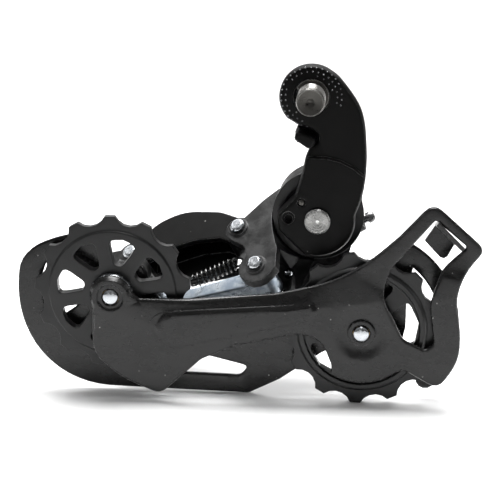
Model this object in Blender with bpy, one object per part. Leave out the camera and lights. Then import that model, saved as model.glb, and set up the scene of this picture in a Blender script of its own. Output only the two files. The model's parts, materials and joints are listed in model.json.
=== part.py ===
"""Rear bicycle derailleur, long cage, as a jointed assembly.

Every size below is in millimetres; meshes are scaled to metres when they are made.
World frame: +X towards the rear of the bicycle, +Y outboard, +Z up, origin on the
mounting bolt's axis in the plane of the bracket's face that meets the frame's hanger.
Plates, pulleys and turned parts are drawn in a "facing" frame whose local z points
inboard (-Y), so a local z of 17.5 is the world plane y = -17.5.
"""
import math

import bmesh
import bpy
from mathutils import Matrix, Vector
from mathutils.geometry import delaunay_2d_cdt

MM = 0.001
GAP = 0.3

# Pivots in the plane of the cage: (x, z).
B_PIVOT = (2.6, -43.5)
P_PIVOT = (-63.4, -65.3)
GUIDE = (-68.4, -68.0)
TENSION = (18.8, -79.2)

# The parallelogram: the direction of its four pins, of its links at rest, and its size.
PIN_DIRECTION = Vector((-0.328, -0.569, 0.754)).normalized()
LINK_DIRECTION = Vector((-0.944, 0.159, -0.290))
LINK_DIRECTION = (LINK_DIRECTION - PIN_DIRECTION * LINK_DIRECTION.dot(PIN_DIRECTION)).normalized()
SIDE_DIRECTION = PIN_DIRECTION.cross(LINK_DIRECTION)
B_OUTER_PIN = Vector((-25.7, 7.0, -49.3))
LINK_LENGTH = 42.45
INNER_PIN = (-6.9, 18.1)
EAR = 3.5
LINK_TOP = -3.8
LINK_BOTTOM = -15.0
FORK_BOTTOM = -18.8
PIN_RADIUS = 1.9

# Layers of the cage, along the facing frame's z.
PULLEY_MID = 11.5
INNER_PLATE = (16.0, 17.5)
OUTER_PLATE = (5.2, 7.0)
AXLE_END = 18.8

# Pulleys.
TEETH = 13
TIP_RADIUS = 27.6
ROOT_RADIUS = 24.7
TOOTH_FLAT = 3.6

# Bracket and mounting bolt.
BRACKET_BACK = -5.0
BOSS_HEIGHT = 1.8
BOSS_RADIUS = 22.8
BOLT_RADIUS = 4.95
BOLT_HOLE = 5.3

# Housings of the two spring-loaded pivots.
B_HOUSING_RADIUS = 15.5
B_HOUSING = (-22.0, -7.7)
P_HOUSING_RADIUS = 6.6
P_HOUSING = (-4.0, 4.6)

# Adjusting screws of the upper knuckle.
B_SCREW_HEAD = Vector((21.0, 12.0, -45.5))
B_SCREW_DIRECTION = Vector((0.866, 0.0, 0.5))
LIMIT_SCREWS = ((-8.1, -70.6), (-7.6, -64.6))

FACING = Matrix.Rotation(math.radians(90), 4, "X")

for old in list(bpy.data.objects):
    bpy.data.objects.remove(old, do_unlink=True)


# ---------------------------------------------------------------- materials

def material(name, colour, roughness, metallic):
    made = bpy.data.materials.new(name)
    made.use_nodes = True
    shader = made.node_tree.nodes["Principled BSDF"]
    shader.inputs["Base Color"].default_value = (*colour, 1.0)
    shader.inputs["Roughness"].default_value = roughness
    shader.inputs["Metallic"].default_value = metallic
    return made


# A corner radius larger than any edge: the corner becomes part of one smooth curve.
EASY = 60.0

BLACK_COAT = ((0.035, 0.035, 0.037), 0.35, 0.0)
MATTE_BLACK = ((0.022, 0.022, 0.022), 0.55, 0.0)
GREY_CAST = ((0.07, 0.07, 0.07), 0.5, 0.0)
BLACK_PLASTIC = ((0.03, 0.03, 0.03), 0.5, 0.0)
DARK_STEEL = ((0.16, 0.155, 0.15), 0.45, 1.0)
BRIGHT_ZINC = ((0.75, 0.77, 0.8), 0.25, 1.0)
PLATED_LINK = ((0.5, 0.56, 0.64), 0.35, 1.0)
SPRING_STEEL = ((0.05, 0.05, 0.05), 0.35, 0.8)
BRONZE = ((0.5, 0.38, 0.2), 0.4, 1.0)


# ---------------------------------------------------------------- outlines

def arc(centre, radius, start, end, steps):
    """Points on an arc, angles in degrees, both ends included."""
    points = []
    for i in range(steps + 1):
        angle = math.radians(start + (end - start) * i / steps)
        points.append((centre[0] + radius * math.cos(angle), centre[1] + radius * math.sin(angle)))
    return points


def circle(centre, radius, steps):
    return arc(centre, radius, 0, 360, steps)[:-1]


def rounded(corners, steps=2):
    """A polygon whose corners (x, y, radius) are replaced by arcs; a corner without a radius stays sharp."""
    points = []
    count = len(corners)
    for i, corner in enumerate(corners):
        here = Vector(corner[:2])
        radius = corner[2] if len(corner) > 2 else 0
        before = Vector(corners[i - 1][:2]) - here
        after = Vector(corners[(i + 1) % count][:2]) - here
        if not radius:
            points.append(tuple(here))
            continue
        half = before.angle(after) / 2
        reach = min(radius / math.tan(half), before.length * 0.49, after.length * 0.49)
        start = here + before.normalized() * reach
        end = here + after.normalized() * reach
        for k in range(steps + 1):
            t = k / steps
            point = start * (1 - t) ** 2 + here * 2 * t * (1 - t) + end * t * t
            points.append(tuple(point))
    return points


def edge_distance(point, loops):
    """Distance from a point to the nearest edge of any of the loops."""
    best = 1e9
    for loop in loops:
        for i in range(len(loop)):
            a = Vector(loop[i - 1])
            ab = Vector(loop[i]) - a
            ap = point - a
            t = max(0.0, min(1.0, ap.dot(ab) / max(ab.length_squared, 1e-12)))
            best = min(best, (ap - ab * t).length)
    return best


def is_inside(point, loop):
    crossings = False
    for i in range(len(loop)):
        x1, y1 = loop[i - 1]
        x2, y2 = loop[i]
        if (y1 > point.y) != (y2 > point.y):
            if point.x < (x2 - x1) * (point.y - y1) / (y2 - y1) + x1:
                crossings = not crossings
    return crossings


def inset(loop, distance):
    """The loop moved by a distance to the left of its direction of travel."""
    moved = []
    for i in range(len(loop)):
        here = Vector(loop[i])
        before = (here - Vector(loop[i - 1])).normalized()
        after = (Vector(loop[(i + 1) % len(loop)]) - here).normalized()
        normal = Vector((-before.y, before.x)) + Vector((-after.y, after.x))
        if normal.length < 1e-6:
            continue
        normal.normalize()
        lean = max(0.5, normal.dot(Vector((-before.y, before.x))))
        moved.append(tuple(here + normal * distance / lean))
    return moved


def counterclockwise(loop):
    area = sum(loop[i - 1][0] * loop[i][1] - loop[i][0] * loop[i - 1][1] for i in range(len(loop)))
    return loop if area > 0 else loop[::-1]


# ---------------------------------------------------------------- solids

def new_object(name, bm):
    """A bmesh in millimetres becomes an object in metres, its faces turned outward."""
    bmesh.ops.recalc_face_normals(bm, faces=bm.faces)
    bmesh.ops.scale(bm, vec=(MM, MM, MM), verts=bm.verts)
    mesh = bpy.data.meshes.new(name)
    bm.to_mesh(mesh)
    bm.free()
    made = bpy.data.objects.new(name, mesh)
    bpy.context.scene.collection.objects.link(made)
    return made


def prism(name, outline, low, high):
    """An outline in the local xy plane, extruded along z from low to high."""
    bm = bmesh.new()
    face = bm.faces.new([bm.verts.new((x, y, low)) for x, y in outline])
    extruded = bmesh.ops.extrude_face_region(bm, geom=[face])
    top = [item for item in extruded["geom"] if isinstance(item, bmesh.types.BMVert)]
    bmesh.ops.translate(bm, verts=top, vec=(0, 0, high - low))
    return new_object(name, bm)


def turned(name, profile, steps=24, closed=False, centre=(0, 0)):
    """A profile of (radius, z) points spun about the local z axis through the centre."""
    bm = bmesh.new()
    verts = [bm.verts.new((radius, 0, z)) for radius, z in profile]
    edges = [bm.edges.new(pair) for pair in zip(verts, verts[1:])]
    if closed:
        edges.append(bm.edges.new((verts[-1], verts[0])))
    bmesh.ops.spin(bm, geom=verts + edges, cent=(0, 0, 0), axis=(0, 0, 1), dvec=(0, 0, 0),
                   angle=2 * math.pi, steps=steps, use_merge=True)
    bmesh.ops.remove_doubles(bm, verts=bm.verts, dist=0.001)
    bmesh.ops.translate(bm, verts=bm.verts, vec=(centre[0], centre[1], 0))
    return new_object(name, bm)


def cylinder(name, radius, low, high, centre=(0, 0), steps=24):
    return prism(name, circle(centre, radius, steps), low, high)


def ring(name, inner, outer, low, high, centre=(0, 0), steps=24):
    corners = [(inner, low), (outer, low), (outer, high), (inner, high)]
    return turned(name, corners, steps, closed=True, centre=centre)


def hull(name, points):
    bm = bmesh.new()
    for point in points:
        bm.verts.new(point)
    result = bmesh.ops.convex_hull(bm, input=bm.verts)
    loose = [v for v in result["geom_interior"] if isinstance(v, bmesh.types.BMVert)]
    bmesh.ops.delete(bm, geom=loose, context="VERTS")
    return new_object(name, bm)


def stamped(name, outline, holes, back, front, guides=(), roll=0.0, shares=(0.35, 1.0)):
    """A plate between the heights back(point, d) and front(point, d), d being the distance to its edge.

    The guides are extra loops that its folds and embossings need; roll is the width of its rounded edge.
    """
    outline = counterclockwise(outline)
    holes = [counterclockwise(hole)[::-1] for hole in holes]
    loops = [outline] + holes
    rings = []
    if roll:
        for share in shares:
            rings += [inset(loop, roll * share) for loop in loops]
    coords = []
    edges = []
    for loop in loops + rings + list(guides):
        first = len(coords)
        coords += [Vector(p) for p in loop]
        edges += [(first + i, first + (i + 1) % len(loop)) for i in range(len(loop))]
    points, _, triangles = delaunay_2d_cdt(coords, edges, [], 0, 0.001)[:3]
    kept = []
    for corners in triangles:
        middle = sum((points[i] for i in corners), Vector((0, 0))) / 3
        if is_inside(middle, outline) and not any(is_inside(middle, hole) for hole in holes):
            kept.append(corners)
    used = sorted({i for corners in kept for i in corners})
    distance = {i: edge_distance(points[i], loops) for i in used}
    bm = bmesh.new()
    lower = {i: bm.verts.new((*points[i], back(points[i], distance[i]))) for i in used}
    upper = {i: bm.verts.new((*points[i], front(points[i], distance[i]))) for i in used}
    sides = {}
    for a, b, c in kept:
        bm.faces.new((upper[a], upper[b], upper[c]))
        bm.faces.new((lower[c], lower[b], lower[a]))
        for edge in ((a, b), (b, c), (c, a)):
            sides[edge] = True
    for a, b in sides:
        if (b, a) not in sides:
            bm.faces.new((lower[a], lower[b], upper[b], upper[a]))
    return new_object(name, bm)


def rolled(distance, width, depth):
    """How far a rounded edge drops below the face, at a distance from the edge."""
    if distance >= width:
        return 0.0
    share = 1 - distance / width
    return depth * (1 - math.sqrt(max(0.0, 1 - share * share)))


def placed(thing, matrix):
    """Moves a helper or a piece by a matrix whose translation is in millimetres."""
    moved = matrix.copy()
    moved.translation = matrix.translation * MM
    thing.matrix_world = moved @ thing.matrix_world
    bpy.context.view_layer.update()
    return thing


def combine(target, others, operation):
    """Boolean of the target with each helper, applied; the helpers are removed."""
    for other in others:
        bpy.context.view_layer.update()
        modifier = target.modifiers.new("bool", "BOOLEAN")
        modifier.operation = operation
        modifier.solver = "EXACT"
        modifier.object = other
        graph = bpy.context.evaluated_depsgraph_get()
        mesh = bpy.data.meshes.new_from_object(target.evaluated_get(graph), depsgraph=graph)
        target.modifiers.clear()
        target.data = mesh
        bpy.data.objects.remove(other, do_unlink=True)
    return target


def cut(target, *others):
    return combine(target, others, "DIFFERENCE")


def fuse(target, *others):
    return combine(target, others, "UNION")


def softened(thing, width, segments=1, angle=40):
    modifier = thing.modifiers.new("edges", "BEVEL")
    modifier.width = width * MM
    modifier.segments = segments
    modifier.limit_method = "ANGLE"
    modifier.angle_limit = math.radians(angle)
    graph = bpy.context.evaluated_depsgraph_get()
    mesh = bpy.data.meshes.new_from_object(thing.evaluated_get(graph), depsgraph=graph)
    thing.modifiers.clear()
    thing.data = mesh
    return thing


def finish(thing, parent, look, smooth=35):
    """Cleans the mesh, gives it its material and hangs it on its joint's empty."""
    bm = bmesh.new()
    bm.from_mesh(thing.data)
    bmesh.ops.remove_doubles(bm, verts=bm.verts, dist=0.000002)
    bmesh.ops.dissolve_degenerate(bm, edges=bm.edges, dist=0.000002)
    bmesh.ops.triangulate(bm, faces=bm.faces)
    bm.to_mesh(thing.data)
    bm.free()
    thing.data.shade_smooth()
    thing.data.set_sharp_from_angle(angle=math.radians(smooth))
    thing.data.materials.clear()
    thing.data.materials.append(material(thing.name + "_finish", *look))
    bpy.context.view_layer.update()
    world = thing.matrix_world.copy()
    thing.parent = parent
    thing.matrix_parent_inverse = parent.matrix_world.inverted()
    thing.matrix_world = world
    return thing


def pivot(name, place):
    empty = bpy.data.objects.new(name, None)
    empty.location = Vector(place) * MM
    bpy.context.scene.collection.objects.link(empty)
    bpy.context.view_layer.update()
    return empty


# ---------------------------------------------------------------- frames

def link_frame(along, across):
    """Frame of the parallelogram at a point: x along the links, y from outer to inner link, z up the pins."""
    place = B_OUTER_PIN + LINK_DIRECTION * along + SIDE_DIRECTION * across
    frame = Matrix((LINK_DIRECTION, SIDE_DIRECTION, PIN_DIRECTION)).transposed().to_4x4()
    frame.translation = place
    return frame


def facing(centre=(0, 0)):
    """The facing frame with its origin at (x, z)."""
    frame = FACING.copy()
    frame.translation = Vector((centre[0], 0, centre[1]))
    return frame


P_OUTER = (LINK_LENGTH, 0)
P_INNER = (LINK_LENGTH + INNER_PIN[0], INNER_PIN[1])

root = pivot("hanger_axis", (0, 0, 0))
b_axis = pivot("b_axis", (B_PIVOT[0], 0, B_PIVOT[1]))
outer_axis = pivot("outer_link_axis", link_frame(0, 0).translation)
inner_axis = pivot("inner_link_axis", link_frame(*INNER_PIN).translation)
p_link_axis = pivot("p_knuckle_axis", link_frame(*P_OUTER).translation)
cage_axis = pivot("cage_axis", (P_PIVOT[0], 0, P_PIVOT[1]))
guide_axis = pivot("guide_axis", (GUIDE[0], 0, GUIDE[1]))
tension_axis = pivot("tension_axis", (TENSION[0], 0, TENSION[1]))


# ---------------------------------------------------------------- bracket group

def bracket_outline():
    lobe = arc((0, -0.2), 11.2, 222, 62, 18)
    right = [(9.0, 7.3, EASY), (13.5, 1.7, EASY), (16.9, -3.4, EASY), (18.6, -9.4, EASY), (19.4, -20.0, EASY),
             (19.3, -27.5, EASY), (18.0, -35.4, EASY)]
    foot = arc(B_PIVOT, 13.2, 8, -112, 14)
    left = [(-10.7, -47.6, 1.5), (-11.7, -41.6, 2.0), (-5.4, -35.0, 1.5)]
    notch = [(-3.0, -27.2, EASY), (-2.0, -21.5, EASY), (-0.7, -18.6, 1), (2.3, -16.0, 1.2), (2.4, -13.4, 1.2),
             (0.4, -11.6, 1.2), (-4.4, -10.0, 2)]
    return rounded(lobe + right + foot + left + notch, 3)


def make_bracket():
    """Cast bracket between the hanger bolt and the upper pivot."""
    edge = arc(B_PIVOT, BOSS_RADIUS, 30, 110, 6)
    low_edge = arc(B_PIVOT, BOSS_RADIUS - 0.4, 30, 110, 6)

    def front(point, distance):
        low = (point - Vector(B_PIVOT)).length < BOSS_RADIUS - 0.2
        return (BOSS_HEIGHT if low else 0.0) - rolled(distance, 1.6, 1.1)

    def back(point, distance):
        return BRACKET_BACK + rolled(distance, 1.6, 1.1)

    piece = stamped("bracket", bracket_outline(), [], back, front, [edge + low_edge[::-1]], roll=1.6)
    bolt_hole = cylinder("cutter", BOLT_HOLE, BRACKET_BACK - 1, 1)
    recess = cylinder("cutter", 6.3, -2.0, 1)
    axle_hole = cylinder("cutter", 3.7, BRACKET_BACK - 1, BOSS_HEIGHT + 1, centre=B_PIVOT)
    dowel_hole = cylinder("cutter", 1.5, BRACKET_BACK - 1, BOSS_HEIGHT + 1, centre=(-3.0, -37.1), steps=16)
    spring_hole = cylinder("cutter", 2.2, 0.2, BOSS_HEIGHT + 1, centre=(-7.6, -42.6), steps=20)
    spring_pip = cylinder("cutter", 1.5, -1.6, BOSS_HEIGHT + 1, centre=(-7.6, -43.4), steps=16)
    cut(piece, bolt_hole, recess, axle_hole, dowel_hole, spring_hole, spring_pip)
    return finish(placed(piece, facing()), root, MATTE_BLACK)


def make_stop_plate():
    """Plate behind the bracket whose bent tab meets the hanger's stop."""
    outline = arc((0, 0), 8.8, -30, 245, 26) + [(-5.8, -13.5), (-5.2, -17.2), (1.0, -17.6), (4.4, -18.4)]
    plate = prism("stop_plate", outline, BRACKET_BACK - GAP - 1.4, BRACKET_BACK - GAP)
    tab = prism("tab", [(-5.0, -11.7), (-0.8, -12.6), (1.3, -13.8), (1.5, -15.6), (-0.7, -17.6), (-5.8, -14.1)],
                BRACKET_BACK - GAP - 1.2, 3.6)
    fuse(plate, softened(tab, 0.5))
    cut(plate, cylinder("cutter", BOLT_HOLE + 0.2, -10, 0))
    return finish(placed(plate, facing()), root, MATTE_BLACK)


def make_mounting_bolt():
    """M10 hanger bolt with its hexagon socket on the outboard side."""
    top = 9.5
    head = -12.6
    profile = [(0, top - 0.9), (0.9, top), (4.1, top), (BOLT_RADIUS, top - 0.8), (BOLT_RADIUS, -0.5),
               (4.1, -0.5), (4.1, -1.5), (4.95, -1.5), (4.95, -7.0), (7.6, -7.0), (8.0, -7.6),
               (8.0, -11.4), (7.0, head), (0, head)]
    piece = turned("mounting_bolt", profile[::-1], 28)
    socket = prism("cutter", circle((0, 0), 2.9, 6), head - 1, head + 4.5)
    cut(piece, socket)
    return finish(placed(piece, facing()), root, DARK_STEEL)


def make_bolt_clip():
    """Snap ring that keeps the bolt in the bracket."""
    outline = arc((0, 0), 6.0, -150, 150, 26) + arc((0, 0), 4.45, 150, -150, 26)
    piece = prism("bolt_snap_ring", outline, -1.35, -0.65)
    return finish(placed(piece, facing()), root, DARK_STEEL)


def make_b_axle():
    """Riveted pin on which the upper knuckle swings."""
    face = BOSS_HEIGHT + GAP
    profile = [(0, face + 0.7), (1.0, face + 1.3), (3.9, face + 1.5), (4.6, face + 1.0), (4.6, face), (3.4, face),
               (3.4, -22.6), (2.9, -22.6), (2.9, -23.5), (3.4, -23.5), (3.4, -24.2), (0, -24.2)]
    piece = turned("b_axle", profile[::-1], 24)
    return finish(placed(piece, facing(B_PIVOT)), root, BRIGHT_ZINC)


def make_b_circlip():
    outline = arc((0, 0), 5.4, -155, 155, 24) + arc((0, 0), 3.2, 155, -155, 24)
    piece = prism("b_axle_circlip", outline, -23.35, -22.65)
    return finish(placed(piece, facing(B_PIVOT)), root, DARK_STEEL)


def make_anchor_pin():
    """Dowel that anchors the upper spring in the bracket."""
    profile = [(0, 2.3), (0.8, 2.2), (1.15, 1.8), (1.15, -5.6), (0, -5.6)]
    piece = turned("spring_anchor_pin", profile[::-1], 16)
    return finish(placed(piece, facing((-3.0, -37.1))), root, DARK_STEEL)


# ---------------------------------------------------------------- upper knuckle group

B_WEB = [(-6.2, -8.0), (-6.2, 5.0), (-11.0, 10.0), (-14.2, 11.4), (-17.4, 9.6), (-20.0, 5.0), (-27.0, 0.0),
         (-27.0, -12.0)]


def b_ear():
    """Outline of the fork's ears: boss of the outer pin, waist, boss of the inner pin, root."""
    top = arc((0, 0.4), 5.0, -115, 60, 8)
    waist = [(-1.8, 8.2), (-3.2, 11.5), (-2.2, 14.6)]
    bottom = arc((INNER_PIN[0], INNER_PIN[1] + 0.6), 6.6, -40, 140, 8)
    heel = [(-14.2, 20.5), (-14.6, 12.0), (-16.5, 5.0), (-21.0, -2.0), (-23.0, -14.0), (-15.0, -13.6),
            (-9.5, -10.2)]
    return top + waist + bottom + heel


def make_b_knuckle():
    """Upper knuckle: spring housing, fork for the links, screw bosses."""
    frame = link_frame(0, 0)
    body = cylinder("b_knuckle", B_HOUSING_RADIUS, *B_HOUSING, centre=B_PIVOT, steps=40)
    softened(body, 1.2, 1)
    placed(body, facing())
    upper = placed(prism("ear", b_ear(), -EAR, 0), frame)
    lower = placed(prism("ear", b_ear(), FORK_BOTTOM, FORK_BOTTOM + EAR), frame)
    web = placed(prism("web", B_WEB, FORK_BOTTOM + 1, -1), frame)
    for arm in (lower, web):
        cage_room = prism("cutter", [(-120, -120), (40, -120), (40, -66), (-120, -66)], OUTER_PLATE[0] - 0.9, 40)
        cut(arm, placed(cage_room, facing()))
    bosses = []
    for centre in ((0, 0), INNER_PIN):
        bosses.append(placed(cylinder("boss", 3.6, -2, 0.7, centre=centre, steps=24), frame))
    lug_outline = rounded([(-12.0, -58.0), (-11.4, -69.0, 2), (-8.6, -73.6, 2.6), (-3.4, -71.0, 2), (1.5, -60.0)])
    lug = placed(prism("lug", lug_outline, -13.0, -4.2), facing())
    skirt_outline = rounded([(-9.0, -50.0), (-4.4, -66.0, 1), (-3.8, -73.5, 1.5), (1.5, -70.5, 2),
                             (6.0, -66.5, 2), (11.0, -62.5, 2), (13.8, -57.6, 2), (15.4, -51.5, 1), (13.0, -46.0)])
    skirt = placed(prism("skirt", skirt_outline, -17.0, -8.0), facing())
    screw_boss = placed(cylinder("boss", 3.3, -1.5, 3.0, steps=20), b_screw_frame(4.2))
    fuse(body, upper, lower, web, *bosses, lug, skirt, screw_boss)
    clearance = cylinder("cutter", 16.5, B_HOUSING[1] - 0.2, 30, centre=B_PIVOT, steps=40)
    cut(body, placed(clearance, facing()))
    pocket = ring("cutter", 5.4, 10.0, -17.0, 1, centre=B_PIVOT, steps=32)
    bore = cylinder("cutter", 3.75, -30, 1, centre=B_PIVOT)
    cut(body, *[placed(thing, facing()) for thing in (pocket, bore)])
    for centre in ((0, 0), INNER_PIN):
        cut(body, placed(cylinder("cutter", PIN_RADIUS + GAP, -30, 3, centre=centre, steps=20), frame))
    for centre in LIMIT_SCREWS:
        cut(body, placed(cylinder("cutter", 1.75, -30, 4, centre=centre, steps=16), facing()))
        cut(body, placed(cylinder("cutter", 3.0, -40, -13.0, centre=centre, steps=20), facing()))
    cut(body, placed(cylinder("cutter", 1.8, -7.3, 8, steps=16), b_screw_frame(0)))
    cut(body, placed(cylinder("cutter", 7.5, -40, B_HOUSING[0] - 0.05, centre=B_PIVOT, steps=28), facing()))
    return finish(body, b_axis, GREY_CAST)


def b_screw_frame(depth):
    """z runs out of the knuckle along the tension screw; the origin lies a depth below its head."""
    frame = B_SCREW_DIRECTION.to_track_quat("Z", "Y").to_matrix().to_4x4()
    frame.translation = B_SCREW_HEAD - B_SCREW_DIRECTION * (depth + 2.2)
    return frame


def cross_slot(radius, low, high):
    """Cutter of a cross recess: two crossed bars."""
    half = radius * 0.16
    reach = radius * 0.62
    bar = prism("cutter", [(-reach, -half), (reach, -half), (reach, half), (-reach, half)], low, high)
    other = prism("cutter", [(-half, -reach), (half, -reach), (half, reach), (-half, reach)], low, high)
    return bar, other


def screw(name, head_radius, head_height, shaft_radius, length):
    """Pan-head screw, its head on +z above the origin, its shaft below."""
    profile = [(0, head_height), (head_radius * 0.7, head_height), (head_radius, head_height * 0.55),
               (head_radius, 0), (shaft_radius, 0), (shaft_radius, 0.6 - length),
               (shaft_radius * 0.6, -length), (0, -length)]
    piece = turned(name, profile[::-1], 20)
    return cut(piece, *cross_slot(head_radius, head_height * 0.45, head_height + 1))


def make_b_screw():
    piece = screw("b_tension_screw", 2.05, 2.6, 1.3, 7.7)
    return finish(placed(piece, b_screw_frame(-1.0)), b_axis, BRIGHT_ZINC)


def make_limit_screws():
    """High and low limit screws, heads outboard, tips showing inboard."""
    for name, centre, length in zip(("limit_screw_high", "limit_screw_low"), LIMIT_SCREWS, (15.5, 11.0)):
        piece = screw(name, 2.5, 2.2, 1.4, length)
        away = Matrix.Rotation(math.radians(180), 4, "X")
        away.translation = Vector((0, 0, -13.0 - GAP))
        finish(placed(placed(piece, away), facing(centre)), b_axis, BRIGHT_ZINC)


def make_b_seal():
    piece = ring("b_seal_ring", 12.6, 16.2, -7.6, -5.6, steps=40)
    slot = prism("cutter", [(-6.2, 13.6), (-3.8, 13.9), (-4.6, 18), (-7.4, 18)], -6.4, 0)
    cut(piece, slot)
    return finish(placed(piece, facing(B_PIVOT)), b_axis, GREY_CAST)


def make_b_spring():
    piece = ring("b_spring", 6.0, 9.4, -16.6, -6.0, steps=28)
    return finish(placed(piece, facing(B_PIVOT)), b_axis, SPRING_STEEL)


def make_link_pins():
    """Four pins; their domed heads sit on top of the forks."""
    places = (("link_pin_upper_outer", (0, 0), b_axis, 2.65, 1.5),
              ("link_pin_upper_inner", INNER_PIN, b_axis, 2.65, 1.5),
              ("link_pin_lower_outer", P_OUTER, p_link_axis, 2.65, 1.5),
              ("link_pin_lower_inner", P_INNER, p_link_axis, 2.1, 0.5))
    for name, centre, parent, radius, height in places:
        low = 0.7 + GAP if parent == b_axis else GAP
        profile = [(0, low + height), (radius * 0.75, low + height), (radius, low + height * 0.6), (radius, low),
                   (PIN_RADIUS, low), (PIN_RADIUS, FORK_BOTTOM - 0.6), (0, FORK_BOTTOM - 0.6)]
        piece = turned(name, profile[::-1], 24)
        finish(placed(piece, link_frame(*centre)), parent, BRIGHT_ZINC)


# ---------------------------------------------------------------- links

def make_outer_link():
    """Outboard link: an arched channel whose open side faces the inner link."""
    foot = arc((0, 0), 4.8, 100, 255, 8)
    crown = [(1.6, -7.8), (9.0, -12.6, 12), (24.0, -17.0, 20), (36.5, -13.2, 12), (40.6, -4.6)]
    tip = arc(P_OUTER, 4.8, -115, 100, 10)
    inside = [(38.0, 2.2), (30.0, -1.0), (19.0, -2.2), (9.0, -0.8), (4.0, 2.6)]
    outline = foot + rounded(crown, 5) + tip + inside
    body = prism("outer_link", outline, LINK_BOTTOM, LINK_TOP)
    softened(body, 1.0, 2, 60)
    hollow = [(6.5, 6.0), (6.0, -6.5), (11.5, -10.6), (17.5, -12.6), (24.0, -13.5), (29.5, -12.6), (34.0, -9.5),
              (37.5, -3.0), (37.8, 6.0)]
    shelf = rounded([(5.6, -5.0), (36.5, -5.0), (36.3, 7.6, 2), (6.6, 8.0, 2)])
    fuse(body, prism("shelf", shelf, LINK_BOTTOM + 0.1, LINK_BOTTOM + 1.9))
    cut(body, prism("cutter", hollow, LINK_BOTTOM + 2.2, LINK_TOP - 2.2))
    for centre in ((0, 0), P_OUTER):
        cut(body, cylinder("cutter", PIN_RADIUS + GAP, LINK_BOTTOM - 1, LINK_TOP + 1, centre=centre, steps=20))
    cut(body, placed(cylinder("cutter", 1.8, -1.5, 9, steps=16), anchor_frame()))
    return finish(placed(body, link_frame(0, 0)), outer_axis, BLACK_COAT)


def anchor_frame():
    """Frame of the cable anchor under the outer link's lower flange; z points out of it."""
    frame = Matrix.Rotation(math.radians(180), 4, "X")
    frame.translation = Vector((23.0, -8.0, LINK_BOTTOM))
    return frame


def make_cable_anchor():
    outline = rounded([(-4.4, -3.6, 1.2), (5.2, -3.6, 1.2), (5.2, 3.6, 1.2), (-4.4, 3.6, 1.2)])
    washer = cut(prism("cable_anchor_plate", outline, 0.3, 1.7), cylinder("cutter", 2.0, -1, 4, steps=20))
    finish(placed(washer, link_frame(0, 0) @ anchor_frame()), outer_axis, BRIGHT_ZINC)
    head = prism("cable_anchor_bolt", circle((0, 0), 4.0, 6), 2.0, 5.2)
    softened(head, 0.35)
    fuse(head, cylinder("shaft", 1.5, -1.2, 3.0, steps=20))
    cut(head, prism("cutter", circle((0, 0), 1.7, 6), 3.4, 8))
    finish(placed(head, link_frame(0, 0) @ anchor_frame()), outer_axis, BRIGHT_ZINC)


def make_inner_link():
    """Inboard link: a folded steel channel, open towards the outer link."""
    near = arc((0, 0), 4.5, 75, 305, 10)
    far = arc((LINK_LENGTH, 0), 4.5, -125, 95, 10)
    outline = near + [(5.6, -1.2), (8.4, -0.4), (28.0, 1.0), (34.0, 0.6), (37.2, -1.0)] + far
    outline += [(37.0, 5.6), (6.0, 5.6)]
    body = prism("inner_link", outline, LINK_BOTTOM, LINK_TOP)
    softened(body, 0.5, 2, 60)
    hollow = [(5.4, -7.0), (38.6, -7.0), (38.6, 4.2), (5.4, 4.2)]
    cut(body, prism("cutter", hollow, LINK_BOTTOM + 1.5, LINK_TOP - 1.5))
    for centre in ((0, 0), (LINK_LENGTH, 0)):
        cut(body, cylinder("cutter", PIN_RADIUS + GAP, LINK_BOTTOM - 1, LINK_TOP + 1, centre=centre, steps=20))
    return finish(placed(body, link_frame(*INNER_PIN)), inner_axis, PLATED_LINK)


def make_return_spring():
    """Tension spring across the parallelogram, drawn as its outer shape."""
    start = Vector((0.0, 7.5, -9.4))
    end = Vector((20.5, 12.0, -9.4))
    frame = (end - start).to_track_quat("Z", "Y").to_matrix().to_4x4()
    frame.translation = start
    piece = cylinder("return_spring", 2.5, 0, (end - start).length, steps=16)
    return finish(placed(placed(piece, frame), link_frame(0, 0)), inner_axis, SPRING_STEEL)


# ---------------------------------------------------------------- lower knuckle group

P_WEB = [(48.0, -3.0), (52.2, -3.0), (51.6, 10.0), (47.6, 20.0), (41.4, 23.2), (41.4, 16.0), (47.6, 8.0)]


def p_ear():
    top = arc(P_OUTER, 4.5, 150, 330, 9)
    heel = [(51.8, -2.6), (51.8, 10.0), (47.4, 20.0)]
    bottom = arc(P_INNER, 5.2, 60, 215, 9)
    return top + heel + bottom


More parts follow.
